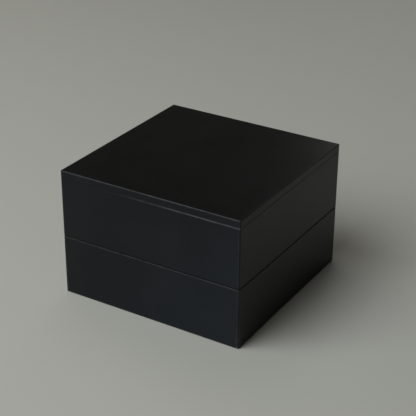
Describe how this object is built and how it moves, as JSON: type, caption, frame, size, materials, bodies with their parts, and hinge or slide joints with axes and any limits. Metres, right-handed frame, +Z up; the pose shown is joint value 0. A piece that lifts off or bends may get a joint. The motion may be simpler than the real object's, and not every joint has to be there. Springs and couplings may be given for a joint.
{
  "type": "bento lunch box",
  "caption": "Square stacking bento lunch box of matte black lacquered wood, with a flat lift-off lid and tiers that sit flush on one another.",
  "frame": {"origin": "centre of the underside of the lower tier", "axes": "+Z up, the way the lid and the upper tier lift off; -Y is the front and +X the right side, which look alike"},
  "size_m": [0.15, 0.15, 0.101],
  "materials": {
    "outer_lacquer": "matte black lacquer on wood, slightly rubbed along the arrises",
    "inner_lacquer": "smooth satin black lacquer on wood",
    "bare_wood": "bare wood, hidden in the joints"
  },
  "bodies": {
    "lower_tier": {"lower_wall_front": "outer_lacquer", "lower_wall_right": "outer_lacquer", "lower_wall_back": "outer_lacquer", "lower_wall_left": "outer_lacquer", "lower_base_board": "inner_lacquer", "lower_lining_front": "inner_lacquer", "lower_lining_right": "inner_lacquer", "lower_lining_back": "inner_lacquer", "lower_lining_left": "inner_lacquer", "lower_corner_splines": "bare_wood"},
    "upper_tier": {"upper_wall_front": "outer_lacquer", "upper_wall_right": "outer_lacquer", "upper_wall_back": "outer_lacquer", "upper_wall_left": "outer_lacquer", "upper_base_board": "inner_lacquer", "upper_lining_front": "inner_lacquer", "upper_lining_right": "inner_lacquer", "upper_lining_back": "inner_lacquer", "upper_lining_left": "inner_lacquer", "upper_corner_splines": "bare_wood"},
    "lid": {"lid_top_board": "outer_lacquer", "lid_rim_front": "outer_lacquer", "lid_rim_right": "outer_lacquer", "lid_rim_back": "outer_lacquer", "lid_rim_left": "outer_lacquer"}
  },
  "joints": [
    {"name": "upper_tier_lift", "type": "slide", "parent": "lower_tier", "child": "upper_tier", "axis": [0, 0, 1], "range_m": [0, 0.1]},
    {"name": "lid_lift", "type": "slide", "parent": "upper_tier", "child": "lid", "axis": [0, 0, 1], "range_m": [0, 0.1]}
  ]
}
